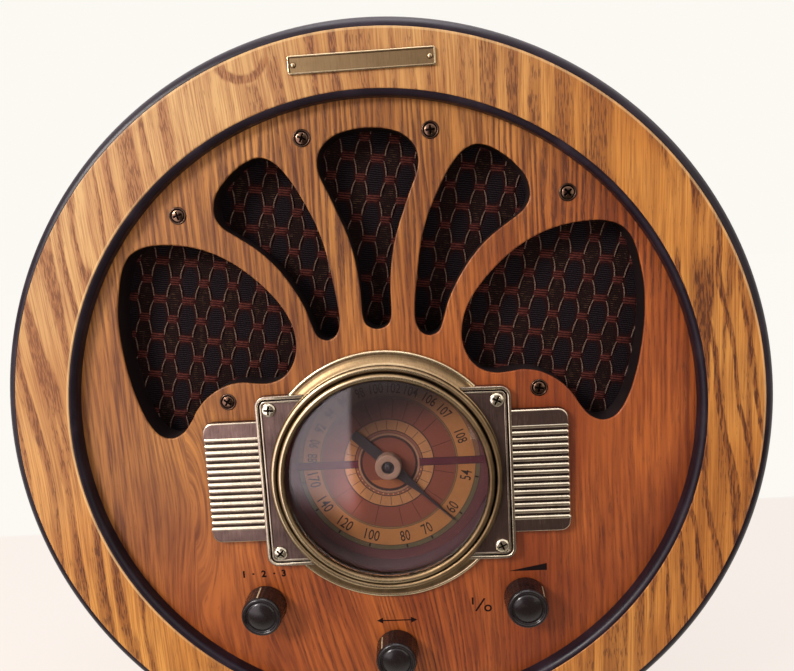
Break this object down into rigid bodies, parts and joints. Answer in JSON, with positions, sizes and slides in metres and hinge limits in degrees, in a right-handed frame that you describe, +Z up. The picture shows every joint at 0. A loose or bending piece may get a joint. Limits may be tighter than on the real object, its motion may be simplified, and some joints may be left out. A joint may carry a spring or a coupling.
{
  "type": "radio cassette player",
  "caption": "Round oak table radio with sunray grille openings, a round brass-framed dial, three control knobs and a cassette deck in its right side.",
  "frame": {"origin": "on the surface that the feet stand on, under the middle of the bounding box", "axes": "+X to the viewer's right, -Y towards the viewer in front of the dial, +Z up"},
  "size_m": [0.344, 0.1758, 0.346],
  "materials": {
    "oak_ring": "golden oak veneer, satin varnish",
    "oak_panel": "red-brown oak veneer, satin varnish",
    "oak_case": "bent oak veneer, satin varnish",
    "black_lacquer": "gloss black lacquer on wood",
    "grille_weave": "dark woven grille cloth",
    "fibre_board": "brown hardboard",
    "foot_rubber": "moulded black rubber",
    "zinc_steel": "zinc plated",
    "antique_brass": "antiqued, brushed brass",
    "bright_brass": "polished pale brass",
    "bronzed_steel": "dark bronzed steel",
    "dial_glass": "clear domed glass",
    "dial_print": "printed dial card on metal",
    "pointer_paint": "dark brown paint",
    "drive_parts": "plain aluminium",
    "cord_thread": "waxed drive cord",
    "knob_black": "gloss black, cream pointer line",
    "control_can": "plated control bodies",
    "board_green": "solder-masked board",
    "speaker_steel": "black pressed steel",
    "cone_paper": "pressed paper pulp",
    "deck_black": "fine-textured black plastic",
    "smoked_window": "smoked clear acrylic",
    "white_plastic": "off-white acetal",
    "head_steel": "polished head metal"
  },
  "bodies": {
    "cabinet": {"cabinet_drum": "oak_case", "front_ring": "oak_ring", "outer_bead": "black_lacquer", "inner_bead": "black_lacquer", "front_panel": "oak_panel", "grille_cloth": "grille_weave", "baffle_board": "fibre_board", "base_plinth": "black_lacquer", "rubber_feet": "foot_rubber", "back_cover": "fibre_board", "back_screws": "zinc_steel", "cord_gland": "foot_rubber", "nameplate": "antique_brass", "panel_screws": "bronzed_steel", "dial_plate": "antique_brass", "plate_screws": "bright_brass", "left_wing": "antique_brass", "right_wing": "antique_brass", "dial_bezel": "antique_brass", "dial_glass": "dial_glass", "dial_can": "zinc_steel", "dial_face": "dial_print", "dial_lamps": "dial_glass", "dial_cord": "cord_thread", "tuning_gang": "drive_parts", "band_switch": "control_can", "volume_control": "control_can", "circuit_board": "board_green", "power_transformer": "control_can", "left_speaker_basket": "speaker_steel", "left_speaker_cone": "cone_paper", "right_speaker_basket": "speaker_steel", "right_speaker_cone": "cone_paper", "deck_bezel": "deck_black", "deck_plate": "zinc_steel", "deck_motor": "drive_parts", "drive_belt": "foot_rubber"},
    "dial_drive": {"pointer": "pointer_paint", "dial_pulley": "drive_parts", "tuning_rotor": "drive_parts"},
    "tuning_control": {"tuning_knob": "knob_black", "tuning_shaft": "zinc_steel"},
    "band_control": {"band_knob": "knob_black", "band_shaft": "zinc_steel"},
    "volume_spindle": {"volume_knob": "knob_black", "volume_shaft": "zinc_steel"},
    "door": {"cassette_door": "deck_black", "door_window": "smoked_window", "cassette_pocket": "deck_black"},
    "stop_button": {"stop_key": "deck_black"},
    "forward_button": {"forward_key": "deck_black"},
    "play_button": {"play_key": "deck_black"},
    "supply_reel": {"supply_spindle": "white_plastic"},
    "takeup_reel": {"takeup_spindle": "white_plastic"},
    "flywheel": {"capstan_flywheel": "bright_brass"},
    "motor_drive": {"motor_pulley": "bright_brass"},
    "head_slide": {"head_carriage": "zinc_steel", "tape_head": "head_steel"},
    "roller": {"pinch_roller": "foot_rubber"}
  },
  "joints": [
    {"name": "dial_sweep", "type": "hinge", "parent": "cabinet", "child": "dial_drive", "pos_m": [0, -0.05205, 0.1462], "axis": [0, -1, 0], "range_deg": [-131, 39]},
    {"name": "tuning_turn", "type": "hinge", "parent": "cabinet", "child": "tuning_control", "pos_m": [0, -0.08205, 0.0605], "axis": [0, -1, 0], "range_deg": [-524, 156]},
    {"name": "band_turn", "type": "hinge", "parent": "cabinet", "child": "band_control", "pos_m": [-0.061, -0.08205, 0.0847], "axis": [0, -1, 0], "range_deg": [-30, 30]},
    {"name": "volume_turn", "type": "hinge", "parent": "cabinet", "child": "volume_spindle", "pos_m": [0.061, -0.08205, 0.0847], "axis": [0, -1, 0], "range_deg": [-97, 203]},
    {"name": "door_swing", "type": "hinge", "parent": "cabinet", "child": "door", "pos_m": [0.163, 0.00695, 0.13], "axis": [0, 1, 0], "range_deg": [0, 35]},
    {"name": "stop_press", "type": "slide", "parent": "cabinet", "child": "stop_button", "axis": [1, 0, 0], "range_m": [-0.005, 0], "stiffness_N_per_m": 300, "springref_m": 0.002},
    {"name": "forward_press", "type": "slide", "parent": "cabinet", "child": "forward_button", "axis": [1, 0, 0], "range_m": [-0.005, 0], "stiffness_N_per_m": 300, "springref_m": 0.002},
    {"name": "head_lower", "type": "slide", "parent": "cabinet", "child": "head_slide", "axis": [0, 0, -1], "range_m": [0, 0.008], "stiffness_N_per_m": 300, "springref_m": -0.003},
    {"name": "play_press", "type": "slide", "parent": "cabinet", "child": "play_button", "axis": [1, 0, 0], "range_m": [-0.005, 0]},
    {"name": "supply_spin", "type": "hinge", "parent": "cabinet", "child": "supply_reel", "pos_m": [0.145, -0.0143, 0.1617], "axis": [1, 0, 0], "continuous": true},
    {"name": "takeup_spin", "type": "hinge", "parent": "cabinet", "child": "takeup_reel", "pos_m": [0.145, 0.0282, 0.1617], "axis": [1, 0, 0], "continuous": true},
    {"name": "flywheel_spin", "type": "hinge", "parent": "cabinet", "child": "flywheel", "pos_m": [0.138, -0.02405, 0.188], "axis": [1, 0, 0], "continuous": true},
    {"name": "motor_spin", "type": "hinge", "parent": "cabinet", "child": "motor_drive", "pos_m": [0.133, 0.03695, 0.184], "axis": [1, 0, 0], "continuous": true},
    {"name": "roller_spin", "type": "hinge", "parent": "head_slide", "child": "roller", "pos_m": [0.15, -0.02405, 0.2025], "axis": [1, 0, 0], "continuous": true}
  ],
  "couplings": [
    {"joint": "tuning_turn", "follows": "dial_sweep", "ratio": 4},
    {"joint": "play_press", "follows": "head_lower", "ratio": -0.625},
    {"joint": "motor_spin", "follows": "flywheel_spin", "ratio": 5}
  ]
}
